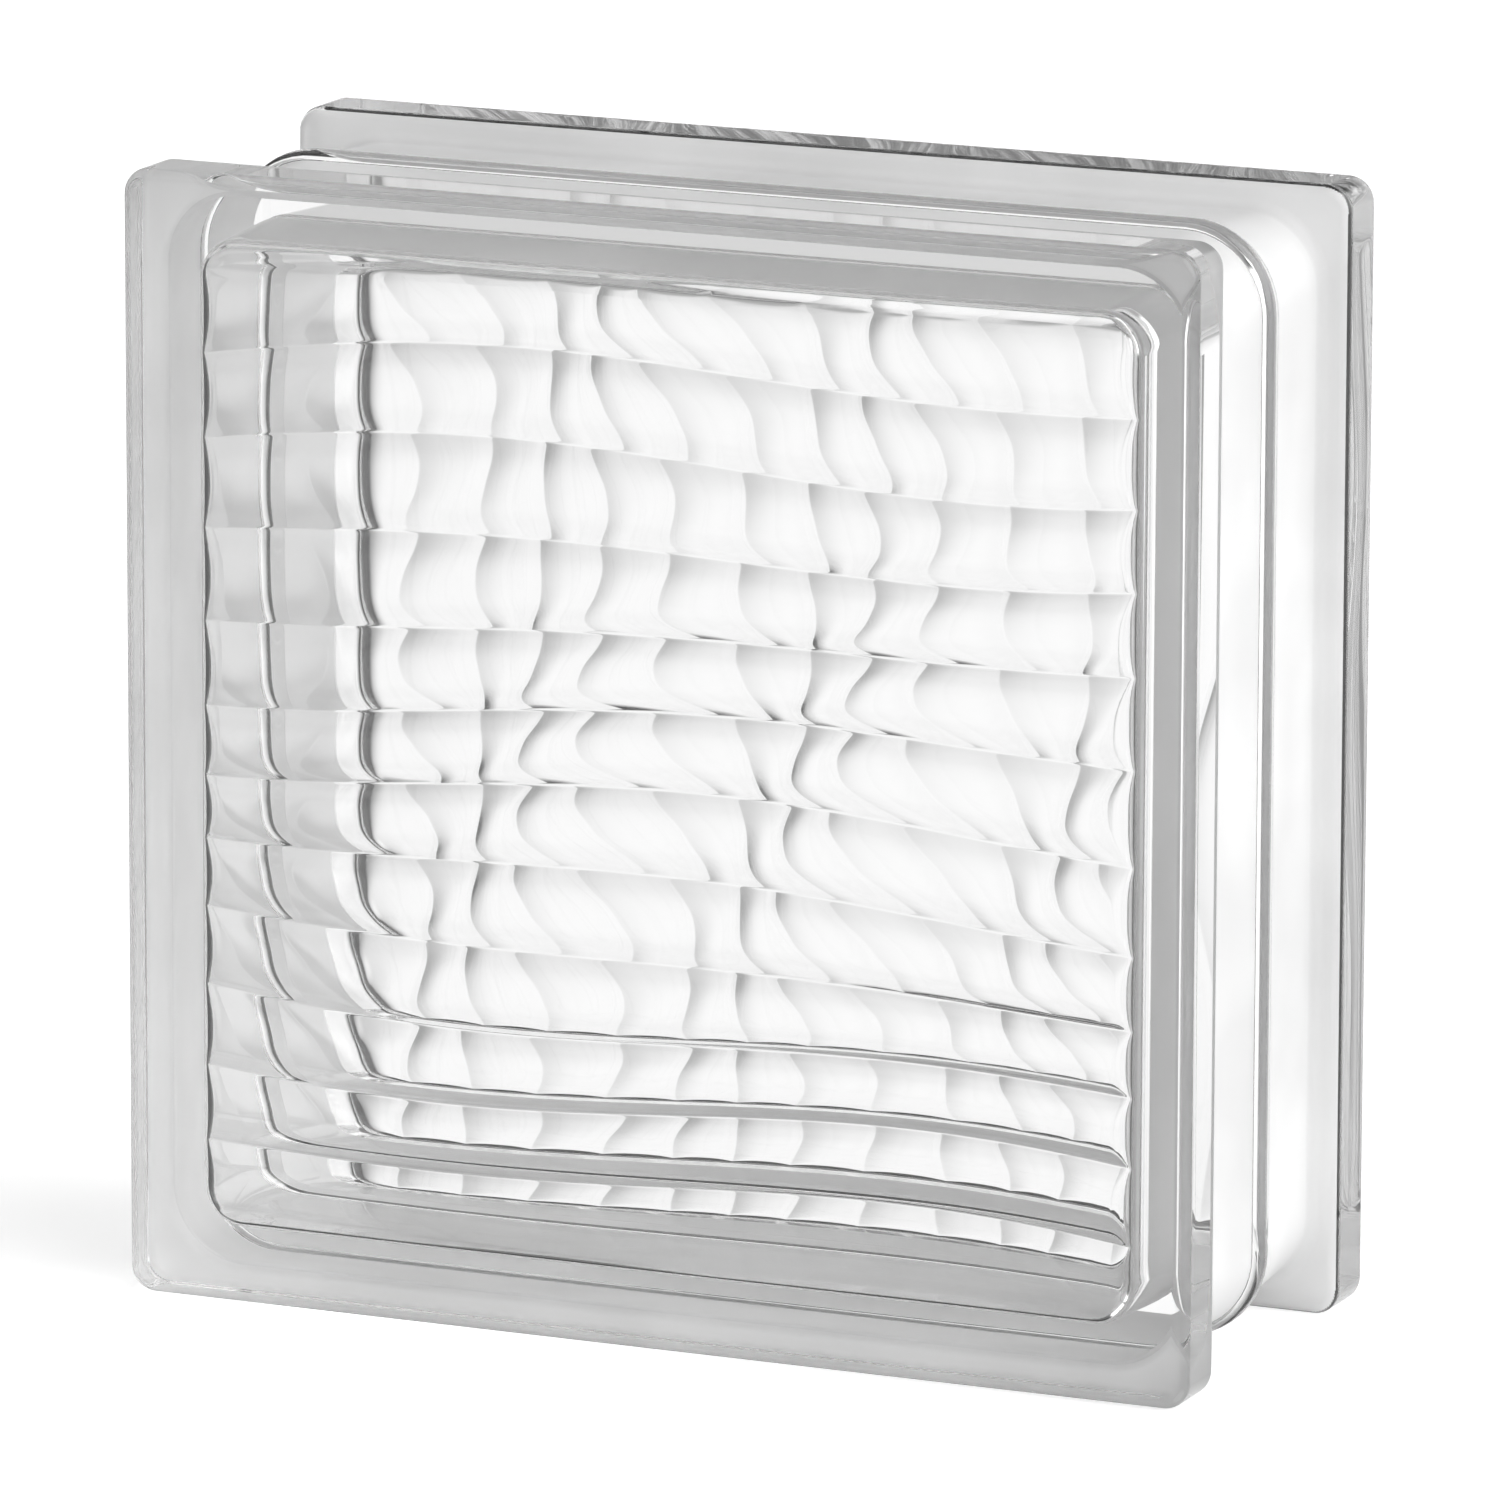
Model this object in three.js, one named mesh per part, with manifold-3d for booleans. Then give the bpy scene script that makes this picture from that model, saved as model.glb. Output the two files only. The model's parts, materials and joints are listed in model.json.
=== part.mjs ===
// Hollow clear glass block, 190 x 190 x 80 mm.
//
// Two dished half shells are pressed from molten glass and fused rim to rim, which leaves a closed
// hollow and a raised seam round the middle of the edge. Each half is a pane with a flange round it
// and a set-in wall behind the flange, so the two flanges leave a channel for mortar on all four
// edges. The inner face of each pane is pressed into wavy flutes. The rear half is turned a quarter
// turn, so its flutes stand upright and cross the level flutes of the front one.
//
// Units are millimetres, +Z is up. The block stands on its edge, with the front face towards -Y and
// the origin at the middle of its base.
//
// Each half is made in its own frame: x to the right, y up, z from the seam plane out to the face.
import * as THREE from 'three';
import { mergeVertices } from 'three/addons/utils/BufferGeometryUtils.js';
import Module from 'manifold-3d';

// Overall block
const BLOCK_SIZE = 190;
const BLOCK_DEPTH = 80;

// Flange: the thick lip that frames each face
const FLANGE_THICKNESS = 13;
const FLANGE_CORNER_RADIUS = 4.5;
const FACE_EDGE_RADIUS = 2.5;
const FLANGE_BACK_RADIUS = 1.8;

// Mortar channel between the flanges: deepest beside them, and rising by its draft to the seam bead
const CHANNEL_DEPTH = 5;
const CHANNEL_DRAFT = 1.5;
const CHANNEL_CORNER_RADIUS = 12;
const CHANNEL_ROOT_RADIUS = 2;
const BEAD_HEIGHT = 1.6;
const BEAD_HALF_WIDTH = 2.5;

// Hollow: side walls with pressing draft, and the fillet where they meet the pane
const WALL_AT_SEAM = 7;
const WALL_DRAFT = 1;
const HOLLOW_CORNER_RADIUS = 8;
const PANE_FILLET_RADIUS = 4;

// Pane and its flutes: concave troughs between sharp crests that stand into the hollow
const PANE_THICKNESS = 7.5;
const FLUTE_DEPTH = 1.6;

// Front flutes: their pitch, where the first crest lies, and the long sine waves that the crests
// wander sideways on
const FRONT_FLUTES = {
  pitch: 13.65,
  start: 79.3,
  sways: [
    { height: 4, lengthAlong: 400, lengthAcross: 198, phase: 4.6 },
    { height: 3.4, lengthAlong: 206, lengthAcross: 239, phase: 1.34 },
    { height: 1.4, lengthAlong: 255, lengthAcross: -73, phase: 1.32 },
  ],
};

// Rear flutes, which are a little narrower
const REAR_FLUTES = {
  pitch: 12.14,
  start: 82.8,
  sways: [
    { height: 2.4, lengthAlong: 219, lengthAcross: -54, phase: 6.2 },
    { height: 1.7, lengthAlong: 71, lengthAcross: -49, phase: 0.85 },
    { height: 1.7, lengthAlong: 95, lengthAcross: 1290, phase: 5.19 },
  ],
};

// Facets
const CORNER_STEPS = 8;
const ROUND_STEPS = 4;
const FLUTE_STEPS = 6;
const SWAY_STEP = 6;

// How far a cutting solid reaches past what it cuts
const CUT_OVERRUN = 1;

const HALF_SIZE = BLOCK_SIZE / 2;
const HALF_DEPTH = BLOCK_DEPTH / 2;
const QUARTER_TURN = Math.PI / 2;

const wasm = await Module();
wasm.setup();

// ---------------------------------------------------------------- meshes to solids and back

// Makes a solid from a list of points and a list of triangles.
function solidFromTriangles(points, triangles) {
  const geometry = new THREE.BufferGeometry();
  geometry.setAttribute('position', new THREE.Float32BufferAttribute(points.flat(), 3));
  geometry.setIndex(triangles.flat());
  const merged = mergeVertices(geometry);
  const mesh = new wasm.Mesh({
    numProp: 3,
    vertProperties: new Float32Array(merged.attributes.position.array),
    triVerts: new Uint32Array(merged.index.array),
  });
  return new wasm.Manifold(mesh);
}

function geometryFromSolid(solid) {
  const mesh = solid.getMesh();
  const geometry = new THREE.BufferGeometry();
  geometry.setAttribute('position', new THREE.Float32BufferAttribute(mesh.vertProperties, 3));
  geometry.setIndex(Array.from(mesh.triVerts));
  geometry.computeVertexNormals();
  return geometry;
}

// ---------------------------------------------------------------- lofts of rounded squares

// One section of a loft: a rounded square of the given half width and corner radius at height z.
function section(z, halfWidth, cornerRadius) {
  return { z, halfWidth, cornerRadius };
}

// The section grown outwards by a distance, which grows its corner radius as well.
function grown(base, distance, z) {
  return section(z, base.halfWidth + distance, base.cornerRadius + distance);
}

// Points of a rounded square, counterclockwise seen from +z.
function sectionPoints({ z, halfWidth, cornerRadius }) {
  const points = [];
  const cornerCentre = halfWidth - cornerRadius;
  for (let corner = 0; corner < 4; corner += 1) {
    const turn = corner * QUARTER_TURN;
    const signX = Math.sign(Math.cos(turn + QUARTER_TURN / 2));
    const signY = Math.sign(Math.sin(turn + QUARTER_TURN / 2));
    for (let step = 0; step <= CORNER_STEPS; step += 1) {
      const angle = turn + (QUARTER_TURN * step) / CORNER_STEPS;
      const x = signX * cornerCentre + cornerRadius * Math.cos(angle);
      const y = signY * cornerCentre + cornerRadius * Math.sin(angle);
      points.push([x, y, z]);
    }
  }
  return points;
}

// A closed solid through sections of rising z, with a flat cap at each end.
function loft(sections) {
  const rings = sections.map(sectionPoints);
  const count = rings[0].length;
  const points = rings.flat();
  const bottomCentre = points.push([0, 0, sections[0].z]) - 1;
  const topCentre = points.push([0, 0, sections.at(-1).z]) - 1;
  const topRing = (rings.length - 1) * count;
  const triangles = [];
  for (let j = 0; j < count; j += 1) {
    const next = (j + 1) % count;
    triangles.push([bottomCentre, next, j]);
    triangles.push([topCentre, topRing + j, topRing + next]);
    for (let ring = 0; ring < topRing; ring += count) {
      triangles.push([ring + j, ring + next, ring + count + next]);
      triangles.push([ring + j, ring + count + next, ring + count + j]);
    }
  }
  return solidFromTriangles(points, triangles);
}

// Fractions along a quarter round: how far across it and how far along it each step lies.
function quarterRound() {
  const steps = [];
  for (let step = 0; step <= ROUND_STEPS; step += 1) {
    const angle = (QUARTER_TURN * step) / ROUND_STEPS;
    steps.push({ sine: Math.sin(angle), cosine: Math.cos(angle) });
  }
  return steps;
}

// ---------------------------------------------------------------- outside of a half

// Seam bead: half of the raised bead, from its crest on the seam plane down to its foot.
function beadSections(foot) {
  return quarterRound().map(({ sine, cosine }) =>
    grown(foot, BEAD_HEIGHT * cosine, BEAD_HALF_WIDTH * sine));
}

// Root of the channel: a fillet that turns from the channel's floor out to the back of the flange.
function rootSections(root) {
  return quarterRound().map(({ sine, cosine }) =>
    grown(root, CHANNEL_ROOT_RADIUS * (1 - cosine), root.z - CHANNEL_ROOT_RADIUS * (1 - sine)));
}

// Flange: its rounded back edge, its flat side and its rounded face edge.
function flangeSections(flange) {
  const backEdge = quarterRound().map(({ sine, cosine }) =>
    grown(flange, -FLANGE_BACK_RADIUS * (1 - sine), flange.z + FLANGE_BACK_RADIUS * (1 - cosine)));
  const faceEdge = quarterRound().map(({ sine, cosine }) =>
    grown(flange, -FACE_EDGE_RADIUS * (1 - cosine), HALF_DEPTH - FACE_EDGE_RADIUS * (1 - sine)));
  return [...backEdge, ...faceEdge];
}

function outerBody() {
  const flangeBack = HALF_DEPTH - FLANGE_THICKNESS;
  const flange = section(flangeBack, HALF_SIZE, FLANGE_CORNER_RADIUS);
  const channelRoot = section(flangeBack, HALF_SIZE - CHANNEL_DEPTH, CHANNEL_CORNER_RADIUS);
  const beadFoot = grown(channelRoot, CHANNEL_DRAFT, BEAD_HALF_WIDTH);
  return loft([
    ...beadSections(beadFoot),
    ...rootSections(channelRoot),
    ...flangeSections(flange),
  ]);
}

// ---------------------------------------------------------------- hollow of a half

// The plug that pressed the hollow, with its drafted sides and its rounded end.
function pressingPlug() {
  const troughLevel = HALF_DEPTH - PANE_THICKNESS;
  const filletStart = troughLevel - PANE_FILLET_RADIUS;
  const seamHalfWidth = HALF_SIZE - CHANNEL_DEPTH + CHANNEL_DRAFT - WALL_AT_SEAM;
  const mouth = section(-CUT_OVERRUN, seamHalfWidth, HOLLOW_CORNER_RADIUS);
  const end = grown(mouth, -WALL_DRAFT, filletStart);
  const rounded = quarterRound().map(({ sine, cosine }) =>
    grown(end, -PANE_FILLET_RADIUS * (1 - cosine), filletStart + PANE_FILLET_RADIUS * sine));
  return loft([mouth, ...rounded]);
}

// How far a crest is pushed across the flutes, at a distance along and across them.
function swayAt(sways, along, across) {
  let total = 0;
  for (const wave of sways) {
    const cycles = along / wave.lengthAlong + across / wave.lengthAcross;
    total += wave.height * Math.sin(2 * Math.PI * cycles + wave.phase);
  }
  return total;
}

// Depth of a flute's round trough below its crests, at a fraction of the way across it.
function troughDepth(fraction) {
  return FLUTE_DEPTH * 4 * fraction * (1 - fraction);
}

// A point of the fluted surface, with its grid line given in flute steps from the first crest.
function flutePoint({ pitch, start, sways }, line, along) {
  const across = start - (line * pitch) / FLUTE_STEPS;
  const fraction = (line / FLUTE_STEPS) - Math.floor(line / FLUTE_STEPS);
  const crestLevel = HALF_DEPTH - PANE_THICKNESS - FLUTE_DEPTH;
  return [along, across + swayAt(sways, along, across), crestLevel + troughDepth(fraction)];
}

// The air over the pane: a block whose upper side is the fluted surface. It reaches one flute past
// the hollow on every side.
function airOverFlutes(flutes) {
  const { pitch, start } = flutes;
  const reach = HALF_SIZE + pitch;
  const firstLine = FLUTE_STEPS * Math.floor((start - reach) / pitch);
  const lastLine = FLUTE_STEPS * Math.ceil((start + reach) / pitch);
  const lineCount = lastLine - firstLine + 1;
  const columnCount = Math.ceil((2 * HALF_SIZE) / SWAY_STEP) + 1;
  const columnWidth = (2 * HALF_SIZE) / (columnCount - 1);
  const points = [];
  for (let row = 0; row < lineCount; row += 1) {
    for (let column = 0; column < columnCount; column += 1) {
      points.push(flutePoint(flutes, lastLine - row, -HALF_SIZE + column * columnWidth));
    }
  }
  return blockUnder(points, columnCount, lineCount, -2 * CUT_OVERRUN);
}

// A closed block from a grid of upper points, rows rising in y, down to a flat underside.
function blockUnder(upper, columnCount, rowCount, undersideZ) {
  const lower = upper.map(([x, y]) => [x, y, undersideZ]);
  const points = [...upper, ...lower];
  const below = upper.length;
  const triangles = [];
  for (let row = 0; row + 1 < rowCount; row += 1) {
    for (let column = 0; column + 1 < columnCount; column += 1) {
      const a = row * columnCount + column;
      const b = a + 1;
      const c = b + columnCount;
      const d = a + columnCount;
      triangles.push([a, b, c], [a, c, d]);
      triangles.push([below + a, below + c, below + b], [below + a, below + d, below + c]);
    }
  }
  const edge = gridEdge(columnCount, rowCount);
  edge.forEach((point, index) => {
    const next = edge[(index + 1) % edge.length];
    triangles.push([below + point, below + next, next], [below + point, next, point]);
  });
  return solidFromTriangles(points, triangles);
}

// Indices round the edge of a grid, counterclockwise.
function gridEdge(columnCount, rowCount) {
  const lastColumn = columnCount - 1;
  const lastRow = rowCount - 1;
  const upTo = (count) => Array.from({ length: count }, (_, index) => index);
  return [
    ...upTo(lastColumn),
    ...upTo(lastRow).map((row) => row * columnCount + lastColumn),
    ...upTo(lastColumn).map((column) => lastRow * columnCount + lastColumn - column),
    ...upTo(lastRow).map((row) => (lastRow - row) * columnCount),
  ];
}

// ---------------------------------------------------------------- the two halves

function halfShellGeometry(flutes) {
  const hollow = pressingPlug().intersect(airOverFlutes(flutes));
  return geometryFromSolid(outerBody().subtract(hollow));
}

function clearGlass() {
  return new THREE.MeshStandardMaterial({ color: 0xe9eeed, roughness: 0.04, metalness: 0 });
}

function halfShell(name, flutes) {
  const mesh = new THREE.Mesh(halfShellGeometry(flutes), clearGlass());
  mesh.name = name;
  return mesh;
}

// Stands a half up on its edge, with its face turned towards -Y.
function upright(mesh) {
  const group = new THREE.Group();
  group.rotation.x = QUARTER_TURN;
  group.position.z = HALF_SIZE;
  group.add(mesh);
  return group;
}

const frontHalf = halfShell('front_half_shell', FRONT_FLUTES);

const rearHalf = halfShell('rear_half_shell', REAR_FLUTES);
rearHalf.rotation.z = QUARTER_TURN;
const rearSide = new THREE.Group();
rearSide.rotation.z = Math.PI;
rearSide.add(upright(rearHalf));

const glassBlock = new THREE.Group();
glassBlock.add(upright(frontHalf), rearSide);

export default glassBlock;
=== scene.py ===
# %% [markdown]
# # A hollow clear glass block
#
# A glass block is two square dishes of pressed glass, fused rim to rim. Each dish has a flat pane,
# a thick flange round it, and a wall set in behind the flange, so that mortar has a channel to lie
# in. The inner face of each pane is pressed into wavy flutes. The front pane's flutes lie level and
# the rear pane's stand upright, so what is behind the block is broken into small soft squares.
#
# Clear glass has no colour of its own to paint. All that shows is light bent by its surfaces. So
# the work is in three places: surfaces that are smooth and closed, a plain glass material with a
# white coating on the edges, and a studio with white and dark parts for the glass to bend.

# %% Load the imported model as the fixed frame
import json
import math

import bpy
import numpy as np
from mathutils import Matrix, Vector

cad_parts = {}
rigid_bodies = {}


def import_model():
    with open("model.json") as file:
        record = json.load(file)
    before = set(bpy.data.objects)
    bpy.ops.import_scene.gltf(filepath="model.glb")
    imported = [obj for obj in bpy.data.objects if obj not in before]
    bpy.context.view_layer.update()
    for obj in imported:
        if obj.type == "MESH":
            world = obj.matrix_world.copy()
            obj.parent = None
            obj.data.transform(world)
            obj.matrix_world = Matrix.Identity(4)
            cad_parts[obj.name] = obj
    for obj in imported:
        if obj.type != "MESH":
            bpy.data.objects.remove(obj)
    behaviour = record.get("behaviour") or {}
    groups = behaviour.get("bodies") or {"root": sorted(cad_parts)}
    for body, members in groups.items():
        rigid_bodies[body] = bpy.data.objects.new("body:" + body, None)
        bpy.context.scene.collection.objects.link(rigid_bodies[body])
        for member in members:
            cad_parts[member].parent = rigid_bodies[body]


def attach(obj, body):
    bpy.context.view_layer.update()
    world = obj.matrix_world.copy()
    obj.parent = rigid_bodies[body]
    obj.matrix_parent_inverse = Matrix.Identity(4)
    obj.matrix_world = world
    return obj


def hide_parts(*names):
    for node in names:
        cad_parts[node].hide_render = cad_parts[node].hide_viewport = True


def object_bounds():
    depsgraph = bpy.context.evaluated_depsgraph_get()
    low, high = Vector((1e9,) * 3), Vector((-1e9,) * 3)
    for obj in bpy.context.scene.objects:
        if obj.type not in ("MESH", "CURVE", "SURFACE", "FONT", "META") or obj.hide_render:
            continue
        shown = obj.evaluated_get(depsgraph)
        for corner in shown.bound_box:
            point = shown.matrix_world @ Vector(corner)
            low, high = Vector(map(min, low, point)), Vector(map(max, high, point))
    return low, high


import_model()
cad_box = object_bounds()
print("CAD box, m:", [tuple(round(value, 4) for value in corner) for corner in cad_box])

# %% [markdown]
# ## Sizes
#
# The overall size comes from the frame. The rest are the sizes of the moulds, in metres, and they
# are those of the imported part. Each half is worked out in its own frame: x to the right, y up, and
# z from the seam in the middle out to the face. The inner bead is the ridge that soft glass makes
# inside, where the two rims are pressed together.
#
# These numbers could be written into the shapes below as they are needed. They stand here together,
# with names, because a mould is drawn that way, and because one change then reaches every surface.

# %% Sizes of the moulds
HALF_SIZE = (cad_box[1].x - cad_box[0].x) / 2
HALF_DEPTH = (cad_box[1].y - cad_box[0].y) / 2

FLANGE_THICKNESS = 0.013
FLANGE_CORNER_RADIUS = 0.0045
FACE_EDGE_RADIUS = 0.0025
FLANGE_BACK_RADIUS = 0.0018

CHANNEL_DEPTH = 0.005
CHANNEL_DRAFT = 0.0015
CHANNEL_CORNER_RADIUS = 0.012
CHANNEL_ROOT_RADIUS = 0.002
BEAD_HEIGHT = 0.0016
BEAD_HALF_WIDTH = 0.0025

WALL_AT_SEAM = 0.007
WALL_DRAFT = 0.001
HOLLOW_CORNER_RADIUS = 0.008
PANE_FILLET_RADIUS = 0.004
INNER_BEAD_HEIGHT = 0.0016
INNER_BEAD_HALF_WIDTH = 0.0024

PANE_THICKNESS = 0.0075
FLUTE_DEPTH = 0.0016

TROUGH_LEVEL = HALF_DEPTH - PANE_THICKNESS
FILLET_START = TROUGH_LEVEL - PANE_FILLET_RADIUS
HOLLOW_HALF = HALF_SIZE - CHANNEL_DEPTH + CHANNEL_DRAFT - WALL_AT_SEAM
print("half size and half depth, m:", round(HALF_SIZE, 4), round(HALF_DEPTH, 4))

# %% [markdown]
# ## Surfaces as arrays
#
# The block could be modelled from cubes with Bevel modifiers. But its edges have several different
# radii, and glass shows every uneven face. So each surface is a grid of points worked out as whole
# numpy arrays, and these helpers turn the points into faces. A loft joins each ring of points to
# the next one. An open grid joins each row to the next row. Both give quads, which are split into
# triangles at the end.

# %% Rings, grids and their faces
ROUND_STEPS = 12


def rounded_square(half_width, corner_radius):
    """Points of a square with round corners, counterclockwise.

    Each corner is a quarter circle about a centre one radius in from both sides.
    """
    angle = np.linspace(0, math.pi / 2, ROUND_STEPS + 1)
    arc = corner_radius * np.stack([np.cos(angle), np.sin(angle)], 1) + half_width - corner_radius
    turns = [arc]
    for _ in range(3):
        last = turns[-1]
        turns.append(np.stack([-last[:, 1], last[:, 0]], 1))
    return np.concatenate(turns)


def ring_faces(ring_count, point_count):
    """Quads between neighbouring rings that all have the same number of points."""
    ring, point = np.meshgrid(np.arange(ring_count - 1), np.arange(point_count), indexing="ij")
    following = (point + 1) % point_count
    corners = [ring * point_count + point, ring * point_count + following,
               (ring + 1) * point_count + following, (ring + 1) * point_count + point]
    return np.stack([corner.ravel() for corner in corners], 1)


def grid_faces(row_count, column_count):
    """Quads of an open grid, counterclockwise where columns run along x and rows along y."""
    row, column = np.meshgrid(np.arange(row_count - 1), np.arange(column_count - 1), indexing="ij")
    first = (row * column_count + column).ravel()
    return np.stack([first, first + 1, first + 1 + column_count, first + column_count], 1)


def as_triangles(faces):
    """Splits quads into pairs of triangles and leaves triangles as they are."""
    if faces.shape[1] == 3:
        return faces
    return np.concatenate([faces[:, [0, 1, 2]], faces[:, [0, 2, 3]]])


ring_size = len(rounded_square(HALF_SIZE, FLANGE_CORNER_RADIUS))
print("a ring of the flange has", ring_size, "points")

# %% [markdown]
# ## The outside
#
# The outside is one profile carried round a rounded square. The profile starts at the rim of one
# face, turns over the rounded edge, runs down the flange, drops into the channel, climbs over the
# seam bead, and then does the same in reverse to the other face. The flange and the channel have
# corners of different radii, which a plain extrusion couldn't give. So each point of the profile
# brings its own corner radius with it.

# %% Profile of the outside, as inset from the flange and distance from the seam
def quarter_circle():
    """Cosine and sine of evenly spread angles of a quarter circle."""
    angle = np.linspace(0, math.pi / 2, ROUND_STEPS + 1)
    return np.cos(angle), np.sin(angle)


def half_profile():
    """Inset, height and corner radius of the half profile, from the bead's crest to the face's rim.

    It is four quarter rounds joined by straight lines: half the bead, the fillet at the channel's
    root, the back edge of the flange and the edge of the face. The corners of the channel and the
    bead share one centre, and so do those of the flange, so each radius falls as its inset grows.
    """
    flange_back = HALF_DEPTH - FLANGE_THICKNESS
    cosine, sine = quarter_circle()
    bead = np.stack([CHANNEL_DEPTH - CHANNEL_DRAFT - BEAD_HEIGHT * cosine,
                     BEAD_HALF_WIDTH * sine], 1)
    root = np.stack([CHANNEL_DEPTH - CHANNEL_ROOT_RADIUS * (1 - cosine),
                     flange_back - CHANNEL_ROOT_RADIUS * (1 - sine)], 1)
    back_edge = np.stack([FLANGE_BACK_RADIUS * (1 - sine),
                          flange_back + FLANGE_BACK_RADIUS * (1 - cosine)], 1)
    face_edge = np.stack([FACE_EDGE_RADIUS * (1 - cosine),
                          HALF_DEPTH - FACE_EDGE_RADIUS * (1 - sine)], 1)
    channel, flange = np.concatenate([bead, root]), np.concatenate([back_edge, face_edge])
    channel_radius = CHANNEL_CORNER_RADIUS + CHANNEL_DEPTH - channel[:, 0]
    flange_radius = FLANGE_CORNER_RADIUS - flange[:, 0]
    profile = np.concatenate([channel, flange])
    return np.column_stack([profile, np.concatenate([channel_radius, flange_radius])])


print("half profile:", len(half_profile()), "points")

# %% Carry the profile round the block
def outside_rings():
    """Rings of the whole outside, from the front face to the rear face, in the block's frame."""
    half = half_profile()
    whole = np.concatenate([half[::-1] * [1, -1, 1], half[1:]])
    rings = []
    for inset, height, radius in whole:
        outline = rounded_square(HALF_SIZE - inset, radius)
        rings.append(np.stack([outline[:, 0], np.full(len(outline), height), outline[:, 1]], 1))
    return np.array(rings)


rings = outside_rings()
ring_count, ring_points = rings.shape[:2]
outside_points = np.concatenate([rings.reshape(-1, 3), [[0, -HALF_DEPTH, 0], [0, HALF_DEPTH, 0]]])
front_middle, rear_middle = len(outside_points) - 2, len(outside_points) - 1
around = np.arange(ring_points)
following = (around + 1) % ring_points
last_ring = (ring_count - 1) * ring_points
front_cap = np.stack([np.full(ring_points, front_middle), around, following], 1)
rear_cap = np.stack([np.full(ring_points, rear_middle),
                     last_ring + following, last_ring + around], 1)
outside_walls = as_triangles(ring_faces(ring_count, ring_points)[:, ::-1])
outside_faces = np.concatenate([outside_walls, front_cap, rear_cap])
print("outside:", len(outside_points), "points,", len(outside_faces), "triangles")

# %% [markdown]
# ## The fluted panes
#
# The flutes are round troughs between sharp crests. The crests aren't straight: each is pushed
# sideways by three long sine waves, and the waves shift from one crest to the next, which makes the
# pattern look like water. A Displace modifier could press the same pattern into a flat grid, but
# the grid would cut across the crests and leave them ragged. Here the grid lines follow the crests,
# so a crest is always a clean line.
#
# The front pane's flutes lie level and the rear pane's stand upright. Each pane has its own pitch
# and its own waves.

# %% The two patterns of flutes
FRONT_FLUTES = {
    "pitch": 0.01365,
    "start": 0.0793,
    "sways": [
        {"height": 0.0040, "along": 0.400, "across": 0.198, "phase": 4.60},
        {"height": 0.0034, "along": 0.206, "across": 0.239, "phase": 1.34},
        {"height": 0.0014, "along": 0.255, "across": -0.073, "phase": 1.32},
    ],
}
REAR_FLUTES = {
    "pitch": 0.01214,
    "start": 0.0828,
    "sways": [
        {"height": 0.0024, "along": 0.219, "across": -0.054, "phase": 6.20},
        {"height": 0.0017, "along": 0.071, "across": -0.049, "phase": 0.85},
        {"height": 0.0017, "along": 0.095, "across": 1.290, "phase": 5.19},
    ],
}
for pane, flutes in [("front", FRONT_FLUTES), ("rear", REAR_FLUTES)]:
    print(pane, "pane: about", round(2 * HOLLOW_HALF / flutes["pitch"]), "flutes")

# %% Sway of the crests
UNSWAY_ROUNDS = 12


def sway(flutes, along, across):
    """How far a crest is pushed sideways: a sum of sines of the place along and across it."""
    total = 0
    for wave in flutes["sways"]:
        cycles = along / wave["along"] + across / wave["across"]
        total = total + wave["height"] * np.sin(2 * math.pi * cycles + wave["phase"])
    return total


def unswayed(flutes, along, across):
    """The place across the flutes before the sway, found by taking the sway off again and again."""
    straight = across
    for _ in range(UNSWAY_ROUNDS):
        straight = across - sway(flutes, along, straight)
    return straight


print("sway at the middle, mm:", round(1000 * float(sway(FRONT_FLUTES, 0.0, 0.0)), 2))

# %% Height of the fluted surface
CREST_ROUNDING = 0.0001


def trough_depth(fraction, pitch):
    """Depth below the crests at a fraction of the way across a flute.

    It is a parabola of the distance from the nearest crest. That distance is first rounded off
    near zero, which gives the crest a small radius.
    """
    from_crest = pitch * np.minimum(fraction, 1 - fraction)
    widest = pitch / 2
    soft = np.sqrt(from_crest ** 2 + CREST_ROUNDING ** 2) - CREST_ROUNDING
    soft = soft * widest / (math.sqrt(widest ** 2 + CREST_ROUNDING ** 2) - CREST_ROUNDING)
    share = soft / pitch
    return FLUTE_DEPTH * 4 * share * (1 - share)


def flute_level(flutes, along, across):
    """Height of the fluted surface above the seam plane.

    The place before the sway, counted in pitches from the first crest, gives the fraction of the
    way across its flute. The trough's depth there lifts the surface from the crests' level.
    """
    count = (flutes["start"] - unswayed(flutes, along, across)) / flutes["pitch"]
    return TROUGH_LEVEL - FLUTE_DEPTH + trough_depth(count - np.floor(count), flutes["pitch"])


middle_level = flute_level(FRONT_FLUTES, 0.0, 0.0)
print("front pane is", round(1000 * (HALF_DEPTH - middle_level), 2), "mm thick at its middle")

# %% Fillet between the pane and the wall
FILLET_BLEND = 0.0004


def plug_level(x, y, half_width, corner_radius):
    """Height of the smooth end of the mould's plug: flat, with a round fillet down to the wall.

    The fillet is a quarter circle of the distance from the rounded outline.
    """
    corner = half_width - corner_radius
    beyond_x = np.maximum(np.abs(x) - corner, 0)
    beyond_y = np.maximum(np.abs(y) - corner, 0)
    straight = np.minimum(half_width - np.abs(x), half_width - np.abs(y))
    round_off = corner_radius - np.hypot(beyond_x, beyond_y)
    from_wall = np.where((beyond_x > 0) & (beyond_y > 0), round_off, straight)
    short_of_flat = np.clip(PANE_FILLET_RADIUS - from_wall, 0, PANE_FILLET_RADIUS)
    return FILLET_START + np.sqrt(PANE_FILLET_RADIUS ** 2 - short_of_flat ** 2)


def lower_of(first, second):
    """The lower of two heights, rounded where they cross.

    It is half of their sum minus the root of their squared difference plus a small blend squared.
    """
    return (first + second - np.sqrt((first - second) ** 2 + FILLET_BLEND ** 2)) / 2


print("fillet starts", round(1000 * FILLET_START, 2), "mm from the seam")

# %% Columns of a pane's grid
PANE_HALF = HOLLOW_HALF - WALL_DRAFT
PANE_CORNER_RADIUS = HOLLOW_CORNER_RADIUS - WALL_DRAFT
FILLET_STEPS = 9
CORNER_COLUMNS = 4
MIDDLE_COLUMNS = 64


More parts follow.
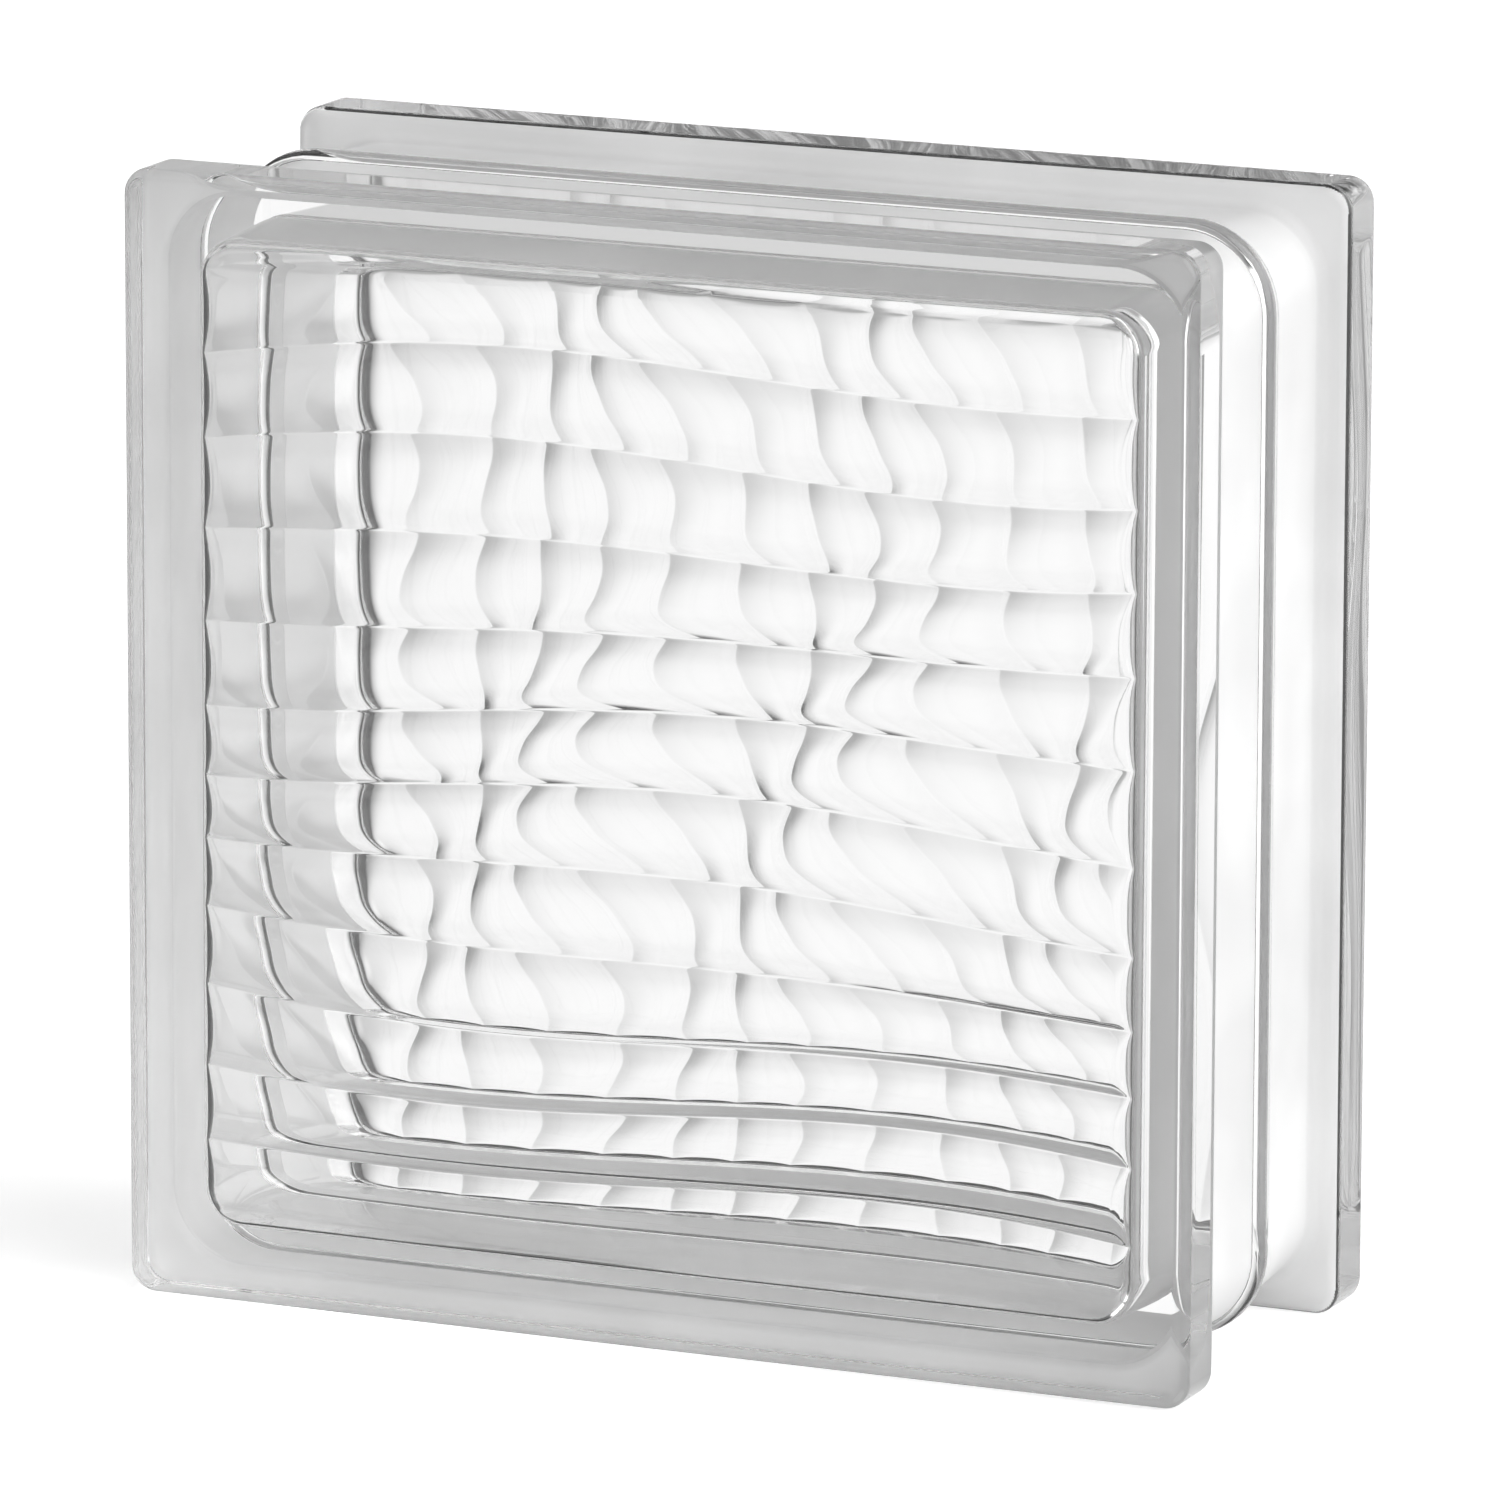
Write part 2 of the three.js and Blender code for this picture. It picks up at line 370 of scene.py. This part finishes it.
def from_wall_steps():
    """Distances from the wall that spread evenly over the fillet's quarter circle."""
    angle = np.linspace(0, math.pi / 2, FILLET_STEPS + 1)
    return PANE_FILLET_RADIUS * (1 - np.cos(angle))


def pane_columns():
    """Places along the flutes: close together over the fillets, and wide in between."""
    near = PANE_HALF - from_wall_steps()
    corner = np.linspace(near[-1], PANE_HALF - PANE_CORNER_RADIUS, CORNER_COLUMNS)[1:]
    edge = np.concatenate([near, corner])
    middle = np.linspace(-edge[-1], edge[-1], MIDDLE_COLUMNS)[1:-1]
    return np.concatenate([-edge, middle, edge[::-1]])


print("columns:", len(pane_columns()))

# %% Rows of a pane's grid, and its heights
LINES_ACROSS_FLUTE = np.array([0, .012, .03, .06, .11, .18, .26, .34, .42, .5,
                               .58, .66, .74, .82, .89, .94, .97, .988])


def pane_grid(flutes):
    """Points of one pane's inner face, as rows by columns by x, y and height.

    Rows near the walls keep a fixed distance from them. The rows in between are the flutes' own
    lines pushed by the sway, held inside the fillets. There is a spare flute past each wall.
    """
    columns = pane_columns()
    before_corner = PANE_HALF - PANE_CORNER_RADIUS
    beyond = np.maximum(np.abs(columns) - before_corner, 0)
    reach = before_corner + np.sqrt(np.maximum(PANE_CORNER_RADIUS ** 2 - beyond ** 2, 0))
    near = from_wall_steps()[:, None]
    pitch = flutes["pitch"]
    count = math.ceil(2 * HALF_SIZE / pitch) + 2
    first = math.floor((flutes["start"] - HALF_SIZE) / pitch) - 1
    line = (np.arange(first, first + count)[:, None] + LINES_ACROSS_FLUTE).ravel()
    straight = (flutes["start"] - line * pitch)[::-1, None]
    limit = np.maximum(reach - PANE_FILLET_RADIUS, 0)
    fluted = np.clip(straight + sway(flutes, columns, straight), -limit, limit)
    y = np.concatenate([-reach + near, fluted, (reach - near)[::-1]])
    x = np.broadcast_to(columns, y.shape)
    plug = plug_level(x, y, PANE_HALF, PANE_CORNER_RADIUS)
    return np.stack([x, y, lower_of(plug, flute_level(flutes, x, y))], 2)


front_grid, rear_grid = pane_grid(FRONT_FLUTES), pane_grid(REAR_FLUTES)
for name, grid in zip(["front", "rear"], [front_grid, rear_grid]):
    print(name, "pane grid:", grid.shape[0], "rows by", grid.shape[1], "columns")

# %% [markdown]
# ## The hollow
#
# The hollow is closed by the two panes, with a wall between them. The wall is a loft of rounded
# squares. It leans out a little towards the seam, as pressed glass has to, and has a small bead
# where the two rims ran together. A Boolean could cut the hollow out of a solid block, but it
# leaves long thin triangles that show in the glass. So the panes are joined to the wall by hand.
# Their edges have other numbers of points than the wall's rings, so they are joined as the two
# sides of a zip fastener are: each tooth meets the nearest one on the other side.

# %% Profile of the wall
BEAD_ROWS = 17
WALL_REST = 0.001


def wall_profile():
    """Half width and height of the hollow's wall, from the front pane's edge to the rear pane's.

    The half width falls evenly from the seam to the pane, less a bead shaped like one cosine wave.
    """
    top = FILLET_START - WALL_REST
    half = np.concatenate([np.linspace(0, INNER_BEAD_HALF_WIDTH, BEAD_ROWS),
                           [INNER_BEAD_HALF_WIDTH * 1.5, top - WALL_REST, top]])
    height = np.concatenate([-half[:0:-1], half])
    bump = np.clip(np.abs(height) / INNER_BEAD_HALF_WIDTH, 0, 1)
    bead = INNER_BEAD_HEIGHT * (1 + np.cos(math.pi * bump)) / 2
    return HOLLOW_HALF - WALL_DRAFT * np.abs(height) / FILLET_START - bead, height


print("wall rings:", len(wall_profile()[0]))

# %% Zip two loops of points
def grid_loop(row_count, column_count):
    """Indices round the edge of a grid, counterclockwise."""
    index = np.arange(row_count * column_count).reshape(row_count, column_count)
    return np.concatenate([index[0, :-1], index[:-1, -1], index[-1, :0:-1], index[:0:-1, 0]])


def loop_share(points):
    """How far round the middle each point of a closed loop lies, as a share of a turn."""
    turn = np.arctan2(points[:, 1], points[:, 0]) / (2 * math.pi)
    return turn % 1.0


def zip_faces(lower, upper, lower_start, upper_start):
    """Triangles between two closed loops that run the same way.

    Both loops are sorted by their share of a turn. Each edge of one loop is joined to the last
    point of the other loop that comes before the edge ends.
    """
    lower_order = np.argsort(loop_share(lower), kind="stable")
    upper_order = np.argsort(loop_share(upper), kind="stable")
    lower_share = loop_share(lower)[lower_order]
    upper_share = loop_share(upper)[upper_order]
    lower_index = lower_order + lower_start
    upper_index = upper_order + upper_start
    seen = np.searchsorted(upper_share, np.append(lower_share[1:], 1.0), side="left") - 1
    on_lower = np.stack([lower_index, np.roll(lower_index, -1), upper_index[seen]], 1)
    seen = np.searchsorted(lower_share, np.append(upper_share[1:], 1.0), side="right") - 1
    on_upper = np.stack([lower_index[seen], np.roll(upper_index, -1), upper_index], 1)
    return np.concatenate([on_lower, on_upper])


def zip_between(plan, lower, upper):
    """Zips two loops of points, given as indices, in the order of their turn about the middle."""
    faces = zip_faces(plan[lower], plan[upper], 0, len(lower))
    return np.concatenate([lower, upper])[faces[:, ::-1]]


edge_loop = grid_loop(*front_grid.shape[:2])
print("round the front pane's edge:", len(edge_loop), "points")

# %% Close the hollow
def to_front(points):
    """From a half's own frame to the block's, with the face towards -Y."""
    return np.stack([points[..., 0], -points[..., 2], points[..., 1]], -1)


def to_rear(points):
    """The same for the rear half, which is also turned a quarter turn."""
    return np.stack([points[..., 1], points[..., 2], points[..., 0]], -1)


def hollow_surface():
    """Points and triangles of the closed hollow, with its faces turned into the hollow."""
    front_count, rear_count = front_grid[..., 0].size, rear_grid[..., 0].size
    front_faces = as_triangles(grid_faces(*front_grid.shape[:2]))
    rear_faces = as_triangles(grid_faces(*rear_grid.shape[:2])) + front_count
    front_loop = grid_loop(*front_grid.shape[:2])
    rear_loop = grid_loop(*rear_grid.shape[:2]) + front_count
    width, height = wall_profile()
    radius = HOLLOW_CORNER_RADIUS - (HOLLOW_HALF - width)
    wall = np.array([np.insert(rounded_square(w, r), 1, h, axis=1)
                     for w, r, h in zip(width, radius, height)])
    points = np.concatenate([to_front(front_grid.reshape(-1, 3)),
                             to_rear(rear_grid.reshape(-1, 3)), wall.reshape(-1, 3)])
    wall_start = front_count + rear_count
    wall_faces = as_triangles(ring_faces(*wall.shape[:2])[:, ::-1]) + wall_start
    plan = points[:, [0, 2]]
    front_ring = wall_start + np.arange(wall.shape[1])
    rear_ring = front_ring + wall.shape[1] * (len(wall) - 1)
    front_zip = zip_between(plan, front_loop, front_ring)
    rear_zip = zip_between(plan, rear_ring, rear_loop)
    return points, [front_faces, rear_faces, front_zip, wall_faces, rear_zip]


hollow_points, hollow_parts = hollow_surface()
for part, name in zip(hollow_parts, ["front pane", "rear pane", "front zip", "wall", "rear zip"]):
    print(name, len(part), "triangles")

# %% Weld and measure
WELD_STEPS_PER_METRE = 1e8


def signed_volume(points, faces):
    """Volume inside closed faces: a sixth of the sum of their corners' triple products."""
    a, b, c = (points[faces[:, i]] for i in range(3))
    return float(np.einsum("ij,ij->i", a, np.cross(b, c)).sum() / 6)


def welded(points, faces):
    """Merges points that lie together, and drops the triangles that this leaves with no area."""
    key = np.round(points * WELD_STEPS_PER_METRE).astype(np.int64)
    _, first, place = np.unique(key, axis=0, return_index=True, return_inverse=True)
    faces = place.reshape(-1)[faces]
    kept = (faces != np.roll(faces, -1, axis=1)).all(axis=1)
    return points[first], faces[kept]


hollow_points, hollow_faces = welded(hollow_points, np.concatenate(hollow_parts))
print("hollow volume, litres:", round(1000 * signed_volume(hollow_points, hollow_faces), 4))

# %% [markdown]
# ## One body of glass
#
# On the real block the two halves are fused, so light passes the seam without meeting a surface.
# So the outside and the hollow go into one mesh: the outside faces outwards, and the hollow's faces
# point into the hollow. Its normals are worked out from the faces by area, so that a wide flat face
# stays optically flat right up to its rounded edge.

# %% Join the outside and the hollow
outside_points, outside_faces = welded(outside_points, outside_faces)
print("outside volume, litres:", round(1000 * signed_volume(outside_points, outside_faces), 4))
body_points = np.concatenate([outside_points, hollow_points]) + [0, 0, HALF_SIZE]
body_faces = np.concatenate([outside_faces, hollow_faces[:, ::-1] + len(outside_points)])
glass_litres = 1000 * signed_volume(body_points, body_faces)
print("glass:", round(glass_litres, 4), "litres,", len(body_faces), "triangles")

# %% Make the glass body
SHORTEST_NORMAL = 1e-12


def area_normals(points, faces):
    """A normal for each point: the sum of its faces' cross products, which weighs them by area."""
    a, b, c = (points[faces[:, i]] for i in range(3))
    cross = np.cross(b - a, c - a)
    total = np.zeros_like(points)
    for corner in range(3):
        np.add.at(total, faces[:, corner], cross)
    return total / np.maximum(np.linalg.norm(total, axis=1, keepdims=True), SHORTEST_NORMAL)


def mesh_object(name, points, faces, normals):
    """A smooth mesh from arrays of points, triangles and normals."""
    mesh = bpy.data.meshes.new(name)
    mesh.vertices.add(len(points))
    mesh.vertices.foreach_set("co", points.astype(np.float32).ravel())
    mesh.loops.add(faces.size)
    mesh.loops.foreach_set("vertex_index", faces.astype(np.int32).ravel())
    mesh.polygons.add(len(faces))
    mesh.polygons.foreach_set("loop_start", np.arange(0, faces.size, 3, dtype=np.int32))
    mesh.update(calc_edges=True)
    mesh.validate()
    mesh.shade_smooth()
    mesh.normals_split_custom_set_from_vertices(normals)
    piece = bpy.data.objects.new(name, mesh)
    bpy.context.scene.collection.objects.link(piece)
    return piece


body_normals = area_normals(body_points, body_faces)
glass_body = mesh_object("glass_body", body_points, body_faces, body_normals)
print("glass body:", len(glass_body.data.vertices), "points")

# %% [markdown]
# ## Clear glass
#
# Pressed soda-lime glass bends light by an index of 1.52. Block glass is made from sand with
# almost no iron in it, so it is colourless. The Principled shader does all of this with
# Transmission Weight at 1 and Roughness at 0. Tint and haze would make the glass easier to see, but
# they would be wrong here: the real surfaces are clean and fire polished.

# %% Glass material
GLASS_INDEX = 1.52


def clear_glass():
    """Colourless polished glass: plain transmission, no roughness."""
    material = bpy.data.materials.new("clear_glass")
    material.use_nodes = True
    shader = material.node_tree.nodes["Principled BSDF"]
    shader.inputs["Base Color"].default_value = (1, 1, 1, 1)
    shader.inputs["Roughness"].default_value = 0.0
    shader.inputs["IOR"].default_value = GLASS_INDEX
    shader.inputs["Transmission Weight"].default_value = 1.0
    return material


glass_body.data.materials.append(clear_glass())
print("first material:", glass_body.data.materials[0].name)

# %% [markdown]
# ## White coating of the edges
#
# The factory coats the channels with a thin white film, so that mortar keys to the block and its
# grey doesn't show through. The film covers the channel and the backs of the flanges, and runs out
# on the round edge of each flange. The raised bead at the seam stays bare. Seen through the glass,
# the film makes the rim look pale and solid, while the middle of the pane stays clear.
#
# The film could be a thin shell of its own, but it has no thickness to see. So the faces that it
# covers get a second material: a white that scatters most of the light and passes a little of it.
# It is brushed on, so soft noise varies its tone by up to a tenth over a few centimetres.

# %% Coating material
COATING_WHITE = 0.97
COATING_THIN = 0.85
COATING_ROUGHNESS = 0.5
COATING_CLEARNESS = 0.15
COATING_PATCHES_PER_METRE = 28.0
COATING_DETAIL = 2.0
NOISE_LOW, NOISE_HIGH = 0.35, 0.65


def edge_coating():
    """White film that passes a little light, with a tone that drifts with soft noise.

    Noise of the place on the piece mostly lies between the low and the high value. Map Range
    stretches that span to the span from thin film to full white.
    """
    material = bpy.data.materials.new("edge_coating")
    material.use_nodes = True
    nodes, links = material.node_tree.nodes, material.node_tree.links
    place = nodes.new("ShaderNodeTexCoord")
    drift = nodes.new("ShaderNodeTexNoise")
    drift.inputs["Scale"].default_value = COATING_PATCHES_PER_METRE
    drift.inputs["Detail"].default_value = COATING_DETAIL
    links.new(place.outputs["Object"], drift.inputs["Vector"])
    tone = nodes.new("ShaderNodeMapRange")
    tone.inputs["From Min"].default_value = NOISE_LOW
    tone.inputs["From Max"].default_value = NOISE_HIGH
    tone.inputs["To Min"].default_value = COATING_THIN
    tone.inputs["To Max"].default_value = COATING_WHITE
    links.new(drift.outputs["Fac"], tone.inputs["Value"])
    shader = nodes["Principled BSDF"]
    links.new(tone.outputs["Result"], shader.inputs["Base Color"])
    shader.inputs["Roughness"].default_value = COATING_ROUGHNESS
    shader.inputs["IOR"].default_value = GLASS_INDEX
    shader.inputs["Transmission Weight"].default_value = COATING_CLEARNESS
    return material


glass_body.data.materials.append(edge_coating())
print("second material:", glass_body.data.materials[1].name)

# %% Lay the coating on the channel faces
COATING_OVER_EDGE = 0.35
COATING_LIMIT = HALF_DEPTH - FLANGE_THICKNESS + COATING_OVER_EDGE * FLANGE_BACK_RADIUS


def coated_faces(points, faces, outside_count):
    """True for the outside faces between the seam bead and the round back edges of the flanges."""
    from_seam = np.abs(points[faces, 1].mean(axis=1))
    in_channel = (from_seam > BEAD_HALF_WIDTH) & (from_seam < COATING_LIMIT)
    in_channel[outside_count:] = False
    return in_channel


coated = coated_faces(body_points, body_faces, len(outside_faces))
glass_body.data.polygons.foreach_set("material_index", coated.astype(np.int32))
glass_body.data.update()
print("coated:", int(coated.sum()), "of", len(coated), "triangles")

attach(glass_body, "root")
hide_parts("front_half_shell", "rear_half_shell")

# %% [markdown]
# ## Studio
#
# Clear glass only shows its surroundings, so the surroundings are built as a studio for glassware
# has them. A white table and wall behind make the pane bright. Dark card on the left and under
# the table's far edge draws the dark lines, where the flutes and corners bend light most. A large
# soft box on the right lights the white coating.
#
# Lamps and cards could be real objects. A world made of soft patches does the same with fewer parts
# and less noise. Each patch is a direction, a width and a level. A surface that faces right or up
# gets a level near one on average, so the coating there renders about as its colour is written.
#
# Cycles can also aim rays at the brightest parts of a world. Here most of those rays would start
# inside the glass and be stopped by it. So the aiming is off, and the picture takes a third less
# time.

# %% A soft patch of the sky, as a node group
def soft_patch_group():
    """Mask that is 1 towards a centre direction and falls smoothly to 0 at an outer angle.

    The cosine of the angle to the centre is a dot product. Map Range turns it into the mask.
    """
    group = bpy.data.node_groups.new("soft_patch", "ShaderNodeTree")
    for name, kind in [("Direction", "NodeSocketVector"), ("Centre", "NodeSocketVector"),
                       ("Inner cosine", "NodeSocketFloat"), ("Outer cosine", "NodeSocketFloat")]:
        group.interface.new_socket(name, in_out="INPUT", socket_type=kind)
    group.interface.new_socket("Mask", in_out="OUTPUT", socket_type="NodeSocketFloat")
    nodes, links = group.nodes, group.links
    given, result = nodes.new("NodeGroupInput"), nodes.new("NodeGroupOutput")
    cosine = nodes.new("ShaderNodeVectorMath")
    cosine.operation = "DOT_PRODUCT"
    links.new(given.outputs["Direction"], cosine.inputs[0])
    links.new(given.outputs["Centre"], cosine.inputs[1])
    spread = nodes.new("ShaderNodeMapRange")
    spread.interpolation_type = "SMOOTHSTEP"
    links.new(cosine.outputs["Value"], spread.inputs["Value"])
    links.new(given.outputs["Outer cosine"], spread.inputs["From Min"])
    links.new(given.outputs["Inner cosine"], spread.inputs["From Max"])
    links.new(spread.outputs["Result"], result.inputs["Mask"])
    return group


SOFT_PATCH = soft_patch_group()
print("patch sockets:", [item.name for item in SOFT_PATCH.interface.items_tree])

# %% The patches of the room
def direction_of(azimuth, elevation):
    """Unit vector of a direction, from an azimuth and an elevation in degrees.

    The azimuth turns from +Y towards +X, and the elevation rises from the floor. The vector is the
    sine and the cosine of the azimuth, both times the elevation's cosine, and its sine.
    """
    turn, rise = math.radians(azimuth), math.radians(elevation)
    return (math.sin(turn) * math.cos(rise), math.cos(turn) * math.cos(rise), math.sin(rise))


ROOM_LEVEL = 0.15
ROOM_PATCHES = [
    # name, azimuth, elevation, inner angle, outer angle, level
    ("wall", -20, 0, 16, 48, 0.4),
    ("white_table", -10, -29, 18, 46, 1.0),
    ("right_box", 92, 36, 30, 45, 2.15),
    ("right_rear", 30, 9, 18, 28, 1.8),
    ("left_box", -100, 52, 20, 42, 0.6),
    ("camera_side", 180, -10, 24, 54, 0.85),
    ("table_front", 108, -53, 17, 27, 1.8),
    ("left_card", -84, -5, 30, 36, 0.08),
    ("low_card", -42, -64, 29, 34, 0.0),
]
for name, azimuth, elevation, inner, outer, patch_level in ROOM_PATCHES:
    towards = [round(part, 2) for part in direction_of(azimuth, elevation)]
    print(name, "lies towards", towards, "at level", patch_level)

# %% World
def studio_world():
    """White to the camera, and the room of patches to every other ray.

    The level starts as the room's, and each patch mixes its own level in by its mask.
    """
    world = bpy.data.worlds.new("studio")
    world.use_nodes = True
    nodes, links = world.node_tree.nodes, world.node_tree.links
    direction = nodes.new("ShaderNodeTexCoord").outputs["Generated"]
    room = nodes.new("ShaderNodeValue")
    room.label = "room"
    level = room.outputs["Value"]
    level.default_value = ROOM_LEVEL
    for name, azimuth, elevation, inner, outer, patch_level in ROOM_PATCHES:
        patch = nodes.new("ShaderNodeGroup")
        patch.node_tree = SOFT_PATCH
        patch.label = name
        links.new(direction, patch.inputs["Direction"])
        patch.inputs["Centre"].default_value = direction_of(azimuth, elevation)
        patch.inputs["Inner cosine"].default_value = math.cos(math.radians(inner))
        patch.inputs["Outer cosine"].default_value = math.cos(math.radians(outer))
        mix = nodes.new("ShaderNodeMix")
        mix.label = name
        links.new(patch.outputs["Mask"], mix.inputs["Factor"])
        links.new(level, mix.inputs["A"])
        mix.inputs["B"].default_value = patch_level
        level = mix.outputs["Result"]
    seen = nodes.new("ShaderNodeLightPath").outputs["Is Camera Ray"]
    white = nodes.new("ShaderNodeMix")
    white.label = "white to the camera"
    links.new(seen, white.inputs["Factor"])
    links.new(level, white.inputs["A"])
    white.inputs["B"].default_value = 1.0
    links.new(white.outputs["Result"], nodes["Background"].inputs["Strength"])
    nodes["Background"].inputs["Color"].default_value = (1, 1, 1, 1)
    world.cycles.sampling_method = "NONE"
    return world


bpy.context.scene.world = studio_world()
print("world nodes:", len(bpy.context.scene.world.node_tree.nodes))

# %% [markdown]
# ## Floor
#
# The floor is plain white and keeps the soft shadow under the block. A matt floor alone would come
# out light grey, because the room above it isn't white all over. More light would fix that and
# spoil the glass, so a little emission is added for camera rays only. Rays that come out of the
# glass pass through the floor, and meet the table and cards of the studio instead.

# %% Floor
FLOOR_HALF = 3.0

floor_points = np.array([[-1, -1, 0], [1, -1, 0], [1, 1, 0], [-1, 1, 0]]) * FLOOR_HALF
floor_mesh = bpy.data.meshes.new("floor")
floor_mesh.from_pydata(floor_points.tolist(), [], [[0, 1, 2, 3]])
floor = bpy.data.objects.new("floor", floor_mesh)
bpy.context.scene.collection.objects.link(floor)
print("floor:", 2 * FLOOR_HALF, "m square")

# %% Floor material
FLOOR_TONE = 0.9
FLOOR_ROUGHNESS = 0.8
FLOOR_LIFT = 0.5


def floor_white():
    """Matt white that is lifted for the camera and clear to rays that come out of the glass.

    The lift is an emission times Is Camera Ray. The mix to a Transparent shader is by the larger of
    Is Glossy Ray and Is Transmission Ray.
    """
    material = bpy.data.materials.new("floor_white")
    material.use_nodes = True
    nodes, links = material.node_tree.nodes, material.node_tree.links
    matt = nodes["Principled BSDF"]
    matt.inputs["Base Color"].default_value = (FLOOR_TONE, FLOOR_TONE, FLOOR_TONE, 1)
    matt.inputs["Roughness"].default_value = FLOOR_ROUGHNESS
    matt.inputs["Specular IOR Level"].default_value = 0.0
    path = nodes.new("ShaderNodeLightPath")
    matt.inputs["Emission Color"].default_value = (1, 1, 1, 1)
    lift = nodes.new("ShaderNodeMath")
    lift.operation = "MULTIPLY"
    lift.inputs[1].default_value = FLOOR_LIFT
    links.new(path.outputs["Is Camera Ray"], lift.inputs[0])
    links.new(lift.outputs["Value"], matt.inputs["Emission Strength"])
    clear = nodes.new("ShaderNodeBsdfTransparent")
    from_glass = nodes.new("ShaderNodeMath")
    from_glass.operation = "MAXIMUM"
    links.new(path.outputs["Is Glossy Ray"], from_glass.inputs[0])
    links.new(path.outputs["Is Transmission Ray"], from_glass.inputs[1])
    floor_mix = nodes.new("ShaderNodeMixShader")
    links.new(from_glass.outputs["Value"], floor_mix.inputs["Fac"])
    links.new(matt.outputs["BSDF"], floor_mix.inputs[1])
    links.new(clear.outputs["BSDF"], floor_mix.inputs[2])
    links.new(floor_mix.outputs["Shader"], nodes["Material Output"].inputs["Surface"])
    return material


floor_mesh.materials.append(floor_white())
print("floor nodes:", len(floor_mesh.materials[0].node_tree.nodes))

# %% [markdown]
# ## Camera
#
# A block looks best from a long way off through a long lens, so that its square face stays almost
# square. The camera stands to the right of the block and a little above it. A Track To constraint
# could aim it at the block's middle, but it couldn't give the slight roll. So its place, its two
# angles and its roll are given, and a matrix is built from three directions: right, up, and back
# towards the camera.

# %% Camera
CAMERA_PLACE = Vector((0.87542, -1.99298, 0.57085))
CAMERA_AZIMUTH = math.radians(23.70)
CAMERA_ELEVATION = math.radians(12.38)
CAMERA_ROLL = math.radians(0.18)
CAMERA_LENS_MM = 323.9
SENSOR_MM = 36
FARTHEST_SEEN = 50

camera_data = bpy.data.cameras.new("camera")
camera_data.lens = CAMERA_LENS_MM
camera_data.sensor_width = SENSOR_MM
camera_data.clip_end = FARTHEST_SEEN
camera = bpy.data.objects.new("camera", camera_data)
back = Vector((math.sin(CAMERA_AZIMUTH) * math.cos(CAMERA_ELEVATION),
               -math.cos(CAMERA_AZIMUTH) * math.cos(CAMERA_ELEVATION),
               math.sin(CAMERA_ELEVATION)))
right = Vector((math.cos(CAMERA_AZIMUTH), math.sin(CAMERA_AZIMUTH), 0))
turned = Matrix((right, back.cross(right), back)).transposed().to_4x4()
rolled = turned @ Matrix.Rotation(CAMERA_ROLL, 4, "Z")
camera.matrix_world = Matrix.Translation(CAMERA_PLACE) @ rolled
bpy.context.scene.collection.objects.link(camera)
bpy.context.scene.camera = camera
bpy.context.scene.view_settings.view_transform = "Standard"
print("camera", round(CAMERA_PLACE.length, 2), "m from the block's foot")

# %% [markdown]
# ## Light paths
#
# Light that enters the thick rim of a block is caught between its polished faces and turns many
# times before it leaves. The usual limits would end such a path early and leave a dark rim, so
# there are more turns here. Cycles also blurs sharp glass after a soft bounce, to save noise. That
# loses the light that the white coating sends into the glass, so the blur is off.

# %% Light paths
light_paths = bpy.context.scene.cycles
light_paths.max_bounces = 20
light_paths.glossy_bounces = 14
light_paths.transmission_bounces = 20
light_paths.diffuse_bounces = 4
light_paths.blur_glossy = 0.0
print("bounces:", light_paths.max_bounces)

# %% [markdown]
# ## Finish
#
# The last cell brings the scene up to date. The glass body has the imported part's own sizes,
# and nothing stands proud of it.

# %% Finish
bpy.context.view_layer.update()
